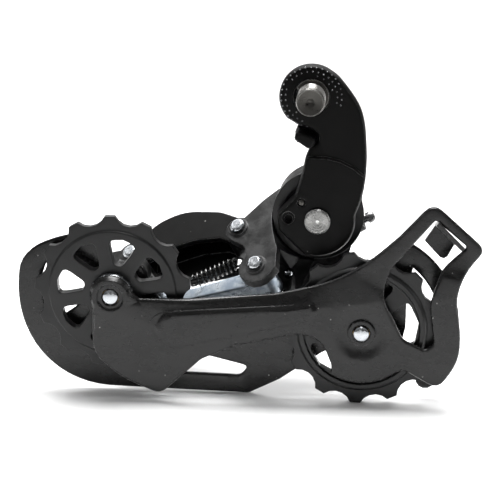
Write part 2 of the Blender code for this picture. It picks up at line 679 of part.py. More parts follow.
def make_p_knuckle():
    """Lower knuckle: fork for the links and the housing of the cage's spring."""
    frame = link_frame(0, 0)
    body = cylinder("p_knuckle", P_HOUSING_RADIUS, *P_HOUSING, centre=P_PIVOT, steps=32)
    softened(body, 0.8, 1)
    placed(body, facing())
    sight = []
    for reach in (0, 26):
        for x, y in circle(P_OUTER, 3.3, 14):
            sight.append(frame @ Vector((x, y, 0.02)) + Vector((0, -1, 0.3)) * reach)
    slot_outline = [(47.8, -9.0), (47.8, 4.0), (47.2, 8.0), (41.2, 16.0), (41.2, 30.0), (20.0, 30.0),
                    (20.0, -12.0)]
    cut(body, placed(prism("cutter", slot_outline, FORK_BOTTOM - 4, -EAR), frame))
    upper = placed(prism("ear", p_ear(), -EAR, 0), frame)
    lower = placed(prism("ear", p_ear(), FORK_BOTTOM, FORK_BOTTOM + EAR), frame)
    web = placed(prism("web", P_WEB, FORK_BOTTOM + 1, -1), frame)
    for arm in (upper, lower, web):
        front = prism("cutter", [(-120, -120), (0, -120), (0, 0), (-120, 0)], P_HOUSING[1] - 0.4, 40)
        cut(arm, placed(front, facing()))
        fuse(body, arm)
    cut(body, hull("cutter", sight))
    pocket = ring("cutter", 3.5, 5.6, 0.2, 8, centre=P_PIVOT, steps=28)
    bore = cylinder("cutter", 2.8 + GAP, -2.8, 8, centre=P_PIVOT, steps=24)
    cut(body, placed(pocket, facing()), placed(bore, facing()))
    for centre in (P_OUTER, P_INNER):
        cut(body, placed(cylinder("cutter", PIN_RADIUS + GAP, -30, 3, centre=centre, steps=20), frame))
    head_room = placed(cylinder("cutter", 2.5, 0.0, 8, centre=P_INNER, steps=20), frame)
    cut(body, head_room)
    return finish(body, p_link_axis, GREY_CAST)


def make_p_spring():
    piece = ring("p_spring", 3.8, 5.3, 1.6, 4.2, steps=28)
    return finish(placed(piece, facing(P_PIVOT)), p_link_axis, SPRING_STEEL)


# ---------------------------------------------------------------- cage

def make_outer_plate():
    """Outboard cage plate, with the cage's pivot and the hoop round the tension pulley."""
    hub = arc(P_PIVOT, 6.9, -10, 135, 8)
    spoke = [(-72.6, -52.8, 2), (-76.5, -48.8, 2), (-82.0, -48.5, EASY), (-88.9, -50.1, EASY),
             (-97.0, -53.4, EASY)]
    rim = [(-102.2, -59.0, EASY), (-103.5, -70.5, EASY), (-101.9, -81.4, EASY), (-97.0, -92.0, EASY),
           (-88.2, -100.5, EASY), (-77.0, -105.1, EASY), (-60.0, -105.6, EASY), (-21.0, -106.6, 3)]
    sweep = [(-10.0, -101.0, 8), (5.0, -90.4, 8)] + arc(TENSION, 10.6, 232, 312, 6)
    ring_inner = arc(TENSION, 27.2, 50, -42, 14)
    hoop_end = arc(TENSION, 30.6, -42, -42, 1)[0]
    ring_end = arc(hoop_end, 3.4, 138, 318, 6)[1:-1]
    ring_outer = arc(TENSION, 34.0, -42, 62, 16)
    back_edge = [(28.6, -51.6), (24.0, -55.0), (12.0, -64.5, EASY), (2.0, -69.5, EASY), (-8.0, -73.5, EASY),
                 (-16.0, -76.2, 4), (-49.0, -76.4)]
    outline = hub + spoke + rim + sweep + [(33.2, -84.8), (34.2, -80.0), (34.2, -66.0)]
    outline = rounded(outline + ring_inner + ring_end + ring_outer + back_edge, 3)
    left_opening = rounded([(-95.2, -66.0, 3), (-92.6, -59.0, 3), (-83.5, -56.2, 3), (-76.6, -61.0, 1.5),
                            (-76.4, -69.4, 1.5), (-83.0, -75.9, 2), (-88.0, -79.4, 3), (-93.6, -75.0, 3)], 3)
    lower_window = rounded([(-21.0, -96.4, 2), (-50.0, -89.4, 3), (-56.0, -93.4, 3), (-53.0, -99.2, 3),
                            (-24.0, -99.9, 3)], 3)

    def back(point, distance):
        return OUTER_PLATE[0] + rolled(distance, 0.8, 0.5)

    def front(point, distance):
        return OUTER_PLATE[1] - rolled(distance, 0.8, 0.5)

    body = stamped("outer_cage_plate", outline, [left_opening, lower_window], back, front, roll=0.8,
                   shares=(1.0,))
    cut(body, cylinder("cutter", 2.8 + GAP, 0, 10, centre=P_PIVOT, steps=24))
    cut(body, cylinder("cutter", 2.5 + GAP, 0, 10, centre=GUIDE, steps=24))
    cut(body, cylinder("cutter", 2.5 + GAP, 0, 10, centre=TENSION, steps=24))
    return finish(placed(body, facing()), cage_axis, BLACK_COAT)


def inner_outline():
    nose = arc(GUIDE, 7.4, 12, 205, 18)
    belly = [(-75.4, -84.0, EASY), (-74.2, -90.2, EASY), (-64.6, -98.6, EASY), (-51.5, -103.9, 5),
             (-37.0, -90.4, 6), (-25.4, -85.2), (-24.4, -84.3), (-23.0, -84.6)]
    waist = [(-15.4, -82.9), (-14.4, -82.2), (-13.4, -82.5), (-4.0, -79.7, EASY), (4.8, -81.8, EASY),
             (8.6, -91.0, 3)]
    disc = arc(TENSION, 18.6, 236, 310, 12)
    tail = [(33.8, -92.4), (45.8, -99.3, 4.5), (52.7, -88.8, EASY), (53.0, -78.0, EASY), (50.8, -66.4, EASY),
            (53.6, -57.0, EASY), (60.4, -48.6, 3.4), (42.2, -32.2, 4.5), (31.0, -44.6, 12), (21.0, -53.8, EASY),
            (8.0, -61.4, EASY), (-12.0, -66.2, EASY), (-40.0, -68.6, 20), (-58.4, -68.7, 2)]
    return rounded(nose + belly + waist + disc + tail, 4)


def make_inner_plate():
    """Inboard cage plate: raised rib, dished axle seat, open hook with the chain guard."""
    window = rounded([(43.2, -38.4, 0.8), (28.4, -56.2, 14), (25.6, -66.2, 10), (30.0, -74.4, 6), (33.0, -81.2, 5),
                      (41.0, -84.9, 2.5), (43.9, -82.6, 2), (42.0, -68.0, 14), (46.0, -55.6, 12),
                      (54.2, -47.6, 1.2)], 4)
    rib_high = rounded([(-54.6, -80.0, 6), (-50.0, -72.8, 6), (-8.0, -69.6, 3), (1.6, -67.6, 2), (4.4, -71.6, 2),
                        (1.6, -75.6, 2), (-27.0, -82.2, 40), (-47.5, -87.4, 6)], 4)
    rib_steps = [inset(counterclockwise(rib_high), step) for step in (0.5, 1.3, 2.4)]
    dishes = [circle(TENSION, radius, 26) for radius in (10.8, 9.4, 7.8, 6.2, 4.9, 4.6)]
    boss = circle(GUIDE, 6.3, 24)
    seat = [circle(GUIDE, radius, 24) for radius in (4.9, 4.4)]

    def bend(point):
        """The upper margin leans outboard: how far, by the distance above its fold."""
        fold = -72.6 + 0.0009 * (point.x + 40) ** 2 if point.x < 20 else -72.6 + 3.24 + 0.28 * (point.x - 20)
        share = max(0.0, min(1.0, (point.y - fold) / 5.0))
        past_nose = max(0.0, min(1.0, ((point - Vector(GUIDE)).length - 8.4) / 9.0))
        return -share * share * past_nose

    def dish(point):
        """Depth of the dish pressed round the tension axle's flat seat."""
        reach = (point - Vector(TENSION)).length
        if reach < 4.7:
            return 0.0
        share = max(0.0, min(1.0, (10.8 - reach) / 5.2))
        return -share * share * (3 - 2 * share) * 0.95

    def emboss(point, height):
        """The rib's rise: a steep shoulder that eases into a flat crest."""
        if not is_inside(point, rib_high):
            return 0.0
        share = min(1.0, edge_distance(point, [rib_high]) / 3.2)
        return height * (1 - (1 - share) ** 2.4)

    def nose(point):
        reach = (point - Vector(GUIDE)).length
        if reach < 4.5:
            return 0.6
        return 1.3 if reach < 6.4 else 0.0

    def front(point, distance):
        height = INNER_PLATE[1] + bend(point) + dish(point) + emboss(point, 0.9) + nose(point)
        return height - rolled(distance, 1.1, 0.7)

    def back(point, distance):
        return INNER_PLATE[0] + bend(point) + emboss(point, 0.9) * 0.5

    fold_line = [(-56.0, -72.4), (-30.0, -72.3), (-5.0, -71.2), (10.0, -69.6), (24.5, -68.0), (25.0, -66.8),
                 (10.0, -67.6), (-5.0, -69.2), (-30.0, -70.4), (-56.0, -70.6)]
    guides = [rib_high, boss, fold_line] + rib_steps + dishes + seat
    body = stamped("inner_cage_plate", inner_outline(), [window], back, front, guides, roll=1.1)
    cut(body, cylinder("cutter", 2.75 + GAP, 10, 30, centre=GUIDE, steps=28))
    cut(body, cylinder("cutter", 2.75 + GAP, 10, 30, centre=TENSION, steps=28))
    flange = hull("flange", [(43.4, -39.9, 17.2), (52.4, -48.9, 17.2), (44.4, -38.7, 17.4), (53.4, -47.7, 17.4),
                             (42.9, -43.2, 4.2), (49.6, -49.8, 4.2), (43.9, -42.2, 4.0), (50.6, -48.8, 4.0)])
    tab = prism("tab", [(40.0, -48.8), (43.6, -43.0), (50.4, -49.6), (48.0, -54.2), (46.8, -55.0), (45.4, -54.6)],
                3.8, 5.4)
    fuse(body, flange, tab)
    return finish(placed(body, facing()), cage_axis, BLACK_COAT)


def make_p_axle():
    """Cage pivot stud, riveted in the outer plate."""
    profile = [(0, 6.9), (2.5, 6.9), (2.8, 6.6), (2.8, -2.4), (0, -2.4)]
    piece = turned("p_axle", profile[::-1], 24)
    return finish(placed(piece, facing(P_PIVOT)), cage_axis, DARK_STEEL)


def make_axle(name, centre, low, head):
    """Pulley axle with a domed inboard end; its outboard end is flush, or has a hexagon socket head."""
    profile = [(0, AXLE_END), (1.9, AXLE_END - 0.1), (2.6, AXLE_END - 0.5), (2.75, AXLE_END - 0.9), (2.75, 16.6),
               (2.45, 16.6), (2.45, low)]
    if head:
        profile += [(4.3, low), (4.6, low - 0.4), (4.6, head + 0.5), (4.1, head), (0, head)]
    else:
        profile += [(0, low)]
    piece = turned(name, profile[::-1], 22)
    if head:
        cut(piece, prism("cutter", circle((0, 0), 1.75, 6), head - 1, head + 2.2))
    return finish(placed(piece, facing(centre)), cage_axis, BRIGHT_ZINC)


# ---------------------------------------------------------------- pulleys

def tooth_outline():
    """Shallow jockey-wheel teeth: flat tips and round valleys."""
    step = 360 / TEETH
    flat = math.degrees(TOOTH_FLAT / TIP_RADIUS) / 2
    half_valley = math.radians(step / 2 - flat)
    chord = TIP_RADIUS * math.sin(half_valley)
    sink = TIP_RADIUS * math.cos(half_valley) - ROOT_RADIUS
    valley_radius = (chord ** 2 + sink ** 2) / (2 * sink)
    opening = math.degrees(math.asin(min(1.0, chord / valley_radius)))
    points = []
    for tooth in range(TEETH):
        angle = tooth * step
        points += arc((0, 0), TIP_RADIUS, angle - flat, angle + flat, 1)
        middle = math.radians(angle + step / 2)
        reach = ROOT_RADIUS + valley_radius
        centre = (reach * math.cos(middle), reach * math.sin(middle))
        facing_in = math.degrees(middle) + 180
        points += arc(centre, valley_radius, facing_in + opening, facing_in - opening, 5)[1:-1]
    return points


def sector(inner, outer, span_in, span_out, turn, corner):
    """A rounded window that widens outward, turned about the hub."""
    corners = []
    polar = ((inner, -span_in), (outer, -span_out), (outer * 1.03, 0), (outer, span_out), (inner, span_in))
    for radius, angle in polar:
        at = math.radians(turn + angle)
        corners.append((radius * math.cos(at), radius * math.sin(at), 0 if angle == 0 else corner))
    return rounded(corners, 3)


def make_pulley(name, centre, parent, windows, first, teeth_turn, spans, rim):
    """Toothed ring, a thicker web with windows, and a hub round the bushing."""
    body = prism(name, tooth_outline(), -1.25, 1.25)
    placed(body, Matrix.Rotation(math.radians(teeth_turn), 4, "Z"))
    if rim:
        web = [(0, -1.6), (20.0, -1.6), (20.4, -2.4), (21.8, -2.4), (22.4, -1.9), (23.6, 0),
               (22.4, 1.9), (21.8, 2.4), (20.4, 2.4), (20.0, 1.6), (0, 1.6)]
    else:
        web = [(0, -1.9), (22.2, -1.9), (23.6, 0), (22.2, 1.9), (0, 1.9)]
    fuse(body, turned("web", web, 39))
    for i in range(windows):
        outline = sector(*spans, first + i * 360 / windows, 2.2)
        cut(body, prism("cutter", outline, -4, 4))
    cut(body, cylinder("cutter", 4.8, -6, 6, steps=28))
    frame = facing(centre)
    frame.translation.y = -PULLEY_MID
    return finish(placed(body, frame), parent, BLACK_PLASTIC)


def make_bearing(prefix, centre):
    """Sleeve and two dust caps of a pulley."""
    frame = facing(centre)
    frame.translation.y = -PULLEY_MID
    sleeve = ring(prefix + "_bushing", 2.75, 4.45, -4.1, 4.1, steps=28)
    finish(placed(sleeve, frame), cage_axis, BRONZE)
    for side, sign in (("inner", 1), ("outer", -1)):
        profile = [(4.8, 2.2), (7.5, 2.2), (7.6, 3.4), (7.2, 4.15), (4.8, 4.15)]
        profile = [(radius, z * sign) for radius, z in profile]
        cap = turned(prefix + "_dust_cap_" + side, profile[::sign], 24, closed=True)
        finish(placed(cap, frame), cage_axis, BRIGHT_ZINC)


# ---------------------------------------------------------------- assembly

make_bracket()
make_stop_plate()
make_mounting_bolt()
make_bolt_clip()
make_b_axle()
make_b_circlip()
make_anchor_pin()
make_b_knuckle()
make_b_screw()
make_limit_screws()
make_b_seal()
make_b_spring()
make_link_pins()
make_outer_link()
make_cable_anchor()
make_inner_link()
make_return_spring()
make_p_knuckle()
make_p_spring()
make_outer_plate()
make_inner_plate()
make_p_axle()
make_axle("guide_axle", GUIDE, 5.4, None)
make_axle("tension_axle", TENSION, 4.9, 2.4)
make_pulley("guide_pulley", GUIDE, guide_axis, 8, -12.4, 8.0, (10.2, 19.2, 8.5, 15.5), False)
make_pulley("tension_pulley", TENSION, tension_axis, 5, 8.0, 17.0, (9.6, 19.4, 20.0, 27.0), True)
make_bearing("guide", GUIDE)
make_bearing("tension", TENSION)
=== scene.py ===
"""Rear bicycle derailleur: materials, fine pieces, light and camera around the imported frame."""
import json
import math

import bmesh
import bpy
from mathutils import Matrix, Vector
from mathutils.bvhtree import BVHTree


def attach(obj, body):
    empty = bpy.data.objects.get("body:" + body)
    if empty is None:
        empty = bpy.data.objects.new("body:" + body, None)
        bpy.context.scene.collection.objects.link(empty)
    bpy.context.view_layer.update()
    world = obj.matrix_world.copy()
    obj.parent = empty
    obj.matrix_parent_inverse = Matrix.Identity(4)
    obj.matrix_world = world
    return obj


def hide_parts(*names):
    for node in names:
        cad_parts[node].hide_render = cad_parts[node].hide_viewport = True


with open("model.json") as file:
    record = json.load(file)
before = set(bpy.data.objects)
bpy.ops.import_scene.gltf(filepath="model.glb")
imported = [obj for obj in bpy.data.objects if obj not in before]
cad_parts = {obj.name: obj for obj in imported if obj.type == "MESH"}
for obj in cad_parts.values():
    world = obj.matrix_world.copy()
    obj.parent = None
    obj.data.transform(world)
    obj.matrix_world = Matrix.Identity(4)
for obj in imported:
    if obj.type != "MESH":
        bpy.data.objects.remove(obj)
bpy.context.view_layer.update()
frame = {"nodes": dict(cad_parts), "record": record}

MM = 0.001

# Axes of the turned parts, in the world's x and z, in millimetres.
BOLT_AXIS = (0.0, 0.0)
B_PIVOT = (2.6, -43.5)
P_PIVOT = (-63.4, -65.3)
GUIDE = (-68.4, -68.0)
TENSION = (18.8, -79.2)

# The link frame: pins along its z, links along its x.
PINS = Vector((-0.328, -0.569, 0.754)).normalized()
LINKS = Vector((-0.944, 0.159, -0.290))
LINKS = (LINKS - PINS * LINKS.dot(PINS)).normalized()
SIDE = PINS.cross(LINKS)
LINK_ORIGIN = Vector((-25.7, 7.0, -49.3))


# ---------------------------------------------------------------- materials

class Shader:
    """A Principled material with short ways to add nodes in object space, scales in 1/metre."""

    def __init__(self, name, metallic=0.0, specular=0.5, coat=0.0, coat_roughness=0.1):
        self.material = bpy.data.materials.new(name)
        self.material.use_nodes = True
        self.tree = self.material.node_tree
        self.principled = self.tree.nodes["Principled BSDF"]
        self.principled.inputs["Metallic"].default_value = metallic
        self.principled.inputs["Specular IOR Level"].default_value = specular
        self.principled.inputs["Coat Weight"].default_value = coat
        self.principled.inputs["Coat Roughness"].default_value = coat_roughness
        self.coordinates = self.tree.nodes.new("ShaderNodeTexCoord").outputs["Object"]

    def link(self, output, target):
        self.tree.links.new(output, target)

    def stretched(self, scale):
        mapping = self.tree.nodes.new("ShaderNodeMapping")
        mapping.inputs["Scale"].default_value = scale
        self.link(self.coordinates, mapping.inputs["Vector"])
        return mapping.outputs["Vector"]

    def noise(self, scale, detail=3.0, roughness=0.55, vector=None):
        node = self.tree.nodes.new("ShaderNodeTexNoise")
        node.inputs["Scale"].default_value = scale
        node.inputs["Detail"].default_value = detail
        node.inputs["Roughness"].default_value = roughness
        self.link(vector or self.coordinates, node.inputs["Vector"])
        return node.outputs["Fac"]

    def cells(self, scale):
        node = self.tree.nodes.new("ShaderNodeTexVoronoi")
        node.inputs["Scale"].default_value = scale
        self.link(self.coordinates, node.inputs["Vector"])
        return node

    def ramp(self, value, low, high, to_low=0.0, to_high=1.0):
        node = self.tree.nodes.new("ShaderNodeMapRange")
        node.interpolation_type = "SMOOTHSTEP"
        limits = {"From Min": low, "From Max": high, "To Min": to_low, "To Max": to_high}
        for name, number in limits.items():
            node.inputs[name].default_value = number
        self.link(value, node.inputs["Value"])
        return node.outputs["Result"]

    def math(self, operation, a, b):
        node = self.tree.nodes.new("ShaderNodeMath")
        node.operation = operation
        for socket, value in zip(node.inputs, (a, b)):
            if isinstance(value, float):
                socket.default_value = value
            else:
                self.link(value, socket)
        return node.outputs["Value"]

    def colour(self, factor, dark, light):
        node = self.tree.nodes.new("ShaderNodeMix")
        node.data_type = "RGBA"
        self.link(factor, node.inputs["Factor"])
        for socket, value in zip((node.inputs[6], node.inputs[7]), (dark, light)):
            if isinstance(value, tuple):
                socket.default_value = (*value, 1.0)
            else:
                self.link(value, socket)
        return node.outputs[2]

    def edges(self, radius, low=0.02, high=0.25):
        """1 on convex and concave edges, 0 on flat surfaces: where a rounded normal leaves the real one."""
        bevel = self.tree.nodes.new("ShaderNodeBevel")
        bevel.samples = 6
        bevel.inputs["Radius"].default_value = radius
        geometry = self.tree.nodes.new("ShaderNodeNewGeometry")
        dot = self.tree.nodes.new("ShaderNodeVectorMath")
        dot.operation = "DOT_PRODUCT"
        self.link(bevel.outputs["Normal"], dot.inputs[0])
        self.link(geometry.outputs["Normal"], dot.inputs[1])
        return self.ramp(self.math("SUBTRACT", 1.0, dot.outputs["Value"]), low, high)

    def rings(self, centre, pitch):
        """Turning marks: fine circles round an axis that runs along y, and the distance from it."""
        mapping = self.tree.nodes.new("ShaderNodeMapping")
        mapping.inputs["Location"].default_value = (-centre[0] * MM, 0.0, -centre[1] * MM)
        mapping.inputs["Scale"].default_value = (1.0, 0.0, 1.0)
        self.link(self.coordinates, mapping.inputs["Vector"])
        length = self.tree.nodes.new("ShaderNodeVectorMath")
        length.operation = "LENGTH"
        self.link(mapping.outputs["Vector"], length.inputs[0])
        distance = length.outputs["Value"]
        return self.math("SINE", self.math("MULTIPLY", distance, 2 * math.pi / (pitch * MM)), 0.0), distance

    def rounded(self, radius):
        """The surface normal with its edges eased over a radius in millimetres."""
        bevel = self.tree.nodes.new("ShaderNodeBevel")
        bevel.samples = 8
        bevel.inputs["Radius"].default_value = radius * MM
        return bevel.outputs["Normal"]

    def set(self, name, output):
        self.link(output, self.principled.inputs[name])

    def bump(self, heights, normal=None):
        """Chains bumps: (height output, depth in millimetres), over an eased normal if there is one."""
        for height, depth in heights:
            node = self.tree.nodes.new("ShaderNodeBump")
            node.inputs["Strength"].default_value = 1.0
            node.inputs["Distance"].default_value = depth * MM
            self.link(height, node.inputs["Height"])
            if normal:
                self.link(normal, node.inputs["Normal"])
            normal = node.outputs["Normal"]
        self.set("Normal", normal)


def satin_black_plate():
    """Electrocoated steel plate: slight orange peel, dust, edges lightened grey, partly as wear and partly
    as painted edge highlight.
    """
    s = Shader("satin_black_plate", specular=0.36)
    cloud = s.noise(45.0, 4.0)
    # Edges lightened to grey: wear of the paint, and also a painted highlight along every edge.
    wear_and_edge_highlight = s.math("MULTIPLY", s.edges(0.00035), s.ramp(s.noise(420.0, 4.0, 0.7), 0.42, 0.6))
    dust_cells = s.cells(330.0)
    dust = s.math("MULTIPLY", s.ramp(dust_cells.outputs["Distance"], 0.04, 0.1, 1.0, 0.0),
                  s.ramp(s.noise(60.0, 2.0), 0.52, 0.6))
    base = s.colour(cloud, (0.003, 0.003, 0.0031), (0.009, 0.0088, 0.0086))
    base = s.colour(wear_and_edge_highlight, base, (0.16, 0.16, 0.16))
    s.set("Base Color", s.colour(dust, base, (0.3, 0.3, 0.29)))
    smear = s.noise(140.0, 5.0, 0.6, s.stretched((1.0, 1.0, 2.2)))
    s.set("Roughness", s.math("ADD", s.ramp(smear, 0.3, 0.7, 0.2, 0.32), s.math("MULTIPLY", wear_and_edge_highlight, 0.12)))
    s.bump([(s.noise(1100.0, 2.0), 0.012), (s.noise(190.0, 2.0), 0.02)], s.rounded(0.6))
    return s.material


def matte_black_casting():
    """Powder-coated forging: fine grain, near black."""
    s = Shader("matte_black_casting", specular=0.1)
    # Edges lightened to grey: wear of the coating, and also a painted highlight along every edge.
    wear_and_edge_highlight = s.math("MULTIPLY", s.edges(0.0004), s.ramp(s.noise(500.0, 4.0, 0.7), 0.3, 0.55))
    base = s.colour(s.noise(80.0, 4.0), (0.002, 0.002, 0.002), (0.005, 0.0049, 0.0047))
    grain = s.noise(3200.0, 3.0, 0.7)
    base = s.colour(s.ramp(grain, 0.62, 0.75), base, (0.012, 0.012, 0.012))
    specks = s.cells(300.0)
    speck = s.math("MULTIPLY", s.ramp(specks.outputs["Distance"], 0.05, 0.11, 1.0, 0.0),
                   s.ramp(s.noise(75.0, 2.0), 0.54, 0.6))
    base = s.colour(speck, base, (0.2, 0.2, 0.19))
    s.set("Base Color", s.colour(wear_and_edge_highlight, base, (0.24, 0.24, 0.235)))
    s.set("Roughness", s.ramp(s.noise(240.0, 4.0), 0.3, 0.7, 0.32, 0.44))
    s.bump([(grain, 0.014), (s.noise(420.0, 2.0), 0.02)], s.rounded(0.9))
    return s.material


def grey_casting():
    """Coated zinc casting: mottled grey over black, with a pitted skin."""
    s = Shader("grey_casting", specular=0.26)
    blotch = s.ramp(s.noise(150.0, 5.0, 0.65), 0.4, 0.64)
    base = s.colour(blotch, (0.002, 0.002, 0.002), (0.03, 0.03, 0.03))
    # Edges lightened to grey: wear of the coating, and also a painted highlight along every edge.
    rub_and_edge_highlight = s.math("MULTIPLY", s.edges(0.0004), s.ramp(s.noise(350.0, 4.0, 0.7), 0.4, 0.6))
    s.set("Base Color", s.colour(rub_and_edge_highlight, base, (0.18, 0.18, 0.185)))
    s.set("Roughness", s.ramp(s.noise(480.0, 4.0), 0.3, 0.7, 0.3, 0.5))
    s.bump([(s.noise(1900.0, 4.0, 0.7), 0.025), (s.noise(330.0, 3.0), 0.06)], s.rounded(0.7))
    return s.material


def black_plastic():
    """Moulded nylon: even black with a fine mould texture and faint flow marks."""
    s = Shader("black_plastic", specular=0.36)
    flow = s.noise(70.0, 4.0, 0.6, s.stretched((1.0, 0.4, 1.6)))
    base = s.colour(flow, (0.003, 0.003, 0.0032), (0.009, 0.009, 0.009))
    # Edges lightened to grey: scuffing, and also a painted highlight along every edge.
    scuff_and_edge_highlight = s.math("MULTIPLY", s.edges(0.0003), s.ramp(s.noise(620.0, 4.0, 0.7), 0.48, 0.62))
    s.set("Base Color", s.colour(scuff_and_edge_highlight, base, (0.1, 0.1, 0.1)))
    s.set("Roughness", s.ramp(flow, 0.3, 0.7, 0.3, 0.44))
    s.bump([(s.noise(2600.0, 3.0, 0.65), 0.01), (s.noise(300.0, 2.0), 0.02)], s.rounded(0.45))
    return s.material


def dark_steel():
    """Blackened, turned steel; its edges lightened, partly as polish and partly as painted edge highlight.
    """
    s = Shader("dark_steel", metallic=1.0)
    cloud = s.noise(260.0, 5.0, 0.65)
    # Edges lightened towards pale metal: polish, and also a painted highlight along every edge.
    polish_and_edge_highlight = s.edges(0.0005, 0.01, 0.1)
    turned, _ = s.rings(BOLT_AXIS, 0.32)
    base = s.colour(cloud, (0.05, 0.048, 0.044), (0.1, 0.097, 0.09))
    s.set("Base Color", s.colour(polish_and_edge_highlight, base, (0.5, 0.49, 0.47)))
    s.set("Roughness", s.ramp(cloud, 0.3, 0.7, 0.26, 0.4))
    s.bump([(s.noise(2400.0, 3.0, 0.7), 0.006), (turned, 0.004)])
    return s.material


def bright_zinc():
    """Bright zinc plate: fine scratches and a soft cloudiness."""
    s = Shader("bright_zinc", metallic=1.0)
    cloud = s.noise(600.0, 4.0, 0.6)
    scratch = s.noise(500.0, 4.0, 0.7, s.stretched((1.0, 1.0, 9.0)))
    base = s.colour(cloud, (0.34, 0.36, 0.38), (0.62, 0.64, 0.66))
    s.set("Base Color", s.colour(s.ramp(scratch, 0.62, 0.72), base, (0.3, 0.31, 0.32)))
    s.set("Roughness", s.ramp(cloud, 0.3, 0.7, 0.14, 0.3))
    s.bump([(scratch, 0.006), (s.noise(700.0, 3.0), 0.02)], s.rounded(0.25))
    return s.material


def dull_zinc():
    """Zinc gone dull on a small screw: grey, cloudy, still sharp in its highlights."""
    s = Shader("dull_zinc", metallic=1.0)
    cloud = s.noise(700.0, 4.0, 0.6)
    s.set("Base Color", s.colour(s.ramp(cloud, 0.35, 0.65), (0.1, 0.1, 0.1), (0.24, 0.24, 0.245)))
    s.set("Roughness", s.ramp(cloud, 0.3, 0.7, 0.2, 0.36))
    s.bump([(s.noise(1500.0, 3.0), 0.008)], s.rounded(0.2))
    return s.material


def turned_zinc():
    """The riveted pivot's face: turning marks round its axis, a pale centre, a soft sheen."""
    s = Shader("turned_zinc", metallic=1.0)
    turned, distance = s.rings(B_PIVOT, 0.42)
    fine, _ = s.rings(B_PIVOT, 0.17)
    base = s.colour(s.ramp(turned, -0.6, 0.9), (0.2, 0.2, 0.195), (0.4, 0.4, 0.39))
    base = s.colour(s.ramp(s.noise(330.0, 4.0), 0.5, 0.75), base, (0.3, 0.3, 0.29))
    centre = s.ramp(distance, 0.45 * MM, 0.75 * MM, 1.0, 0.0)
    s.set("Base Color", s.colour(centre, base, (0.85, 0.85, 0.84)))
    s.set("Roughness", s.ramp(s.noise(600.0, 3.0), 0.3, 0.7, 0.22, 0.34))
    s.bump([(turned, 0.02), (fine, 0.006)])
    return s.material


def plated_link():
    """Bluish zinc plate over folded steel: spangled, wavy reflections."""
    s = Shader("plated_link", metallic=1.0)
    spangle = s.cells(520.0)
    tone = s.math("MULTIPLY", spangle.outputs["Color"], 1.0)      # a colour read as one number
    cloud = s.noise(160.0, 4.0, 0.6)
    base = s.colour(s.ramp(tone, 0.1, 0.9), (0.26, 0.3, 0.34), (0.44, 0.48, 0.52))
    s.set("Base Color", s.colour(s.ramp(cloud, 0.45, 0.7), base, (0.2, 0.235, 0.28)))
    s.set("Roughness", s.ramp(cloud, 0.3, 0.7, 0.2, 0.38))
    s.bump([(cloud, 0.09), (s.noise(1300.0, 3.0), 0.012)], s.rounded(0.8))
    return s.material


def spring_steel():
    """Oiled, blackened wire with faint drawing lines."""
    s = Shader("spring_steel", metallic=1.0)
    streak = s.noise(900.0, 4.0, 0.6)
    s.set("Base Color", s.colour(streak, (0.06, 0.06, 0.059), (0.15, 0.15, 0.147)))
    s.set("Roughness", s.ramp(streak, 0.3, 0.7, 0.16, 0.28))
    s.bump([(s.noise(2600.0, 3.0), 0.006)])
    return s.material


def bronze():
    """Sintered bronze: porous and dull."""
    s = Shader("bronze", metallic=1.0)
    pores = s.noise(2300.0, 4.0, 0.7)
    s.set("Base Color", s.colour(s.ramp(pores, 0.35, 0.55), (0.16, 0.1, 0.045), (0.5, 0.36, 0.19)))
    s.set("Roughness", s.ramp(s.noise(500.0, 3.0), 0.3, 0.7, 0.36, 0.55))
    s.bump([(pores, 0.02)])
    return s.material


MATERIALS = {make.__name__: make() for make in (
    satin_black_plate, matte_black_casting, grey_casting, black_plastic, dark_steel,
    bright_zinc, dull_zinc, turned_zinc, plated_link, spring_steel, bronze)}


# ---------------------------------------------------------------- CAD nodes

EDGE_ROUND = {"satin_black_plate": 0.22, "matte_black_casting": 0.4, "grey_casting": 0.3,
              "black_plastic": 0.2, "plated_link": 0.12}
OWN_FINISH = {"b_axle": "turned_zinc", "b_tension_screw": "dull_zinc", "outer_link": "matte_black_casting"}


def dress(node, slot):
    """The slot's material, and edges rounded as pressing, casting and plating leave them."""
    piece = frame["nodes"][node]
    piece.data.materials.clear()
    piece.data.materials.append(MATERIALS[OWN_FINISH.get(node, slot)])
    weld = piece.modifiers.new("weld", "WELD")
    weld.merge_threshold = 1e-5
    bevel = piece.modifiers.new("bevel", "BEVEL")
    bevel.width = EDGE_ROUND.get(slot, 0.1) * MM
    bevel.segments = 2
    bevel.limit_method = "ANGLE"
    bevel.angle_limit = math.radians(34)
    bevel.use_clamp_overlap = True
    normals = piece.modifiers.new("normals", "WEIGHTED_NORMAL")
    normals.weight = 60
    normals.keep_sharp = False


for part in frame["record"]["subparts"]:
    dress(part["node"], part["material_slot"])


# ---------------------------------------------------------------- pieces made here

def facing_point(centre, x, y, z):
    """From a turned part's own frame, whose z points inboard, to the world, in metres."""
    return Vector(((centre[0] + x) * MM, -z * MM, (centre[1] + y) * MM))


def link_point(x, y, z):
    """From the link frame, in millimetres, to the world, in metres."""
    return (LINK_ORIGIN + LINKS * x + SIDE * y + PINS * z) * MM


def add_piece(name, bm, slot, body, replaced=()):
    """A named piece that rides a body; it may stand in for the CAD nodes listed."""
    bmesh.ops.recalc_face_normals(bm, faces=bm.faces)
    mesh = bpy.data.meshes.new(name)
    bm.to_mesh(mesh)
    bm.free()
    for polygon in mesh.polygons:
        polygon.use_smooth = True
    piece = bpy.data.objects.new(name, mesh)
    bpy.context.scene.collection.objects.link(piece)
    mesh.materials.append(MATERIALS[slot])
    if replaced:
        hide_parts(*replaced)
    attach(piece, body)
    return piece


def skin(bm, rows):
    """Faces between successive closed rows of vertices."""
    for low, high in zip(rows, rows[1:]):
        count = len(low)
        for i in range(count):
            j = (i + 1) % count
            quad = [low[i], low[j], high[j], high[i]]
            if len(set(quad)) > 2:
                bm.faces.new(list(dict.fromkeys(quad)))


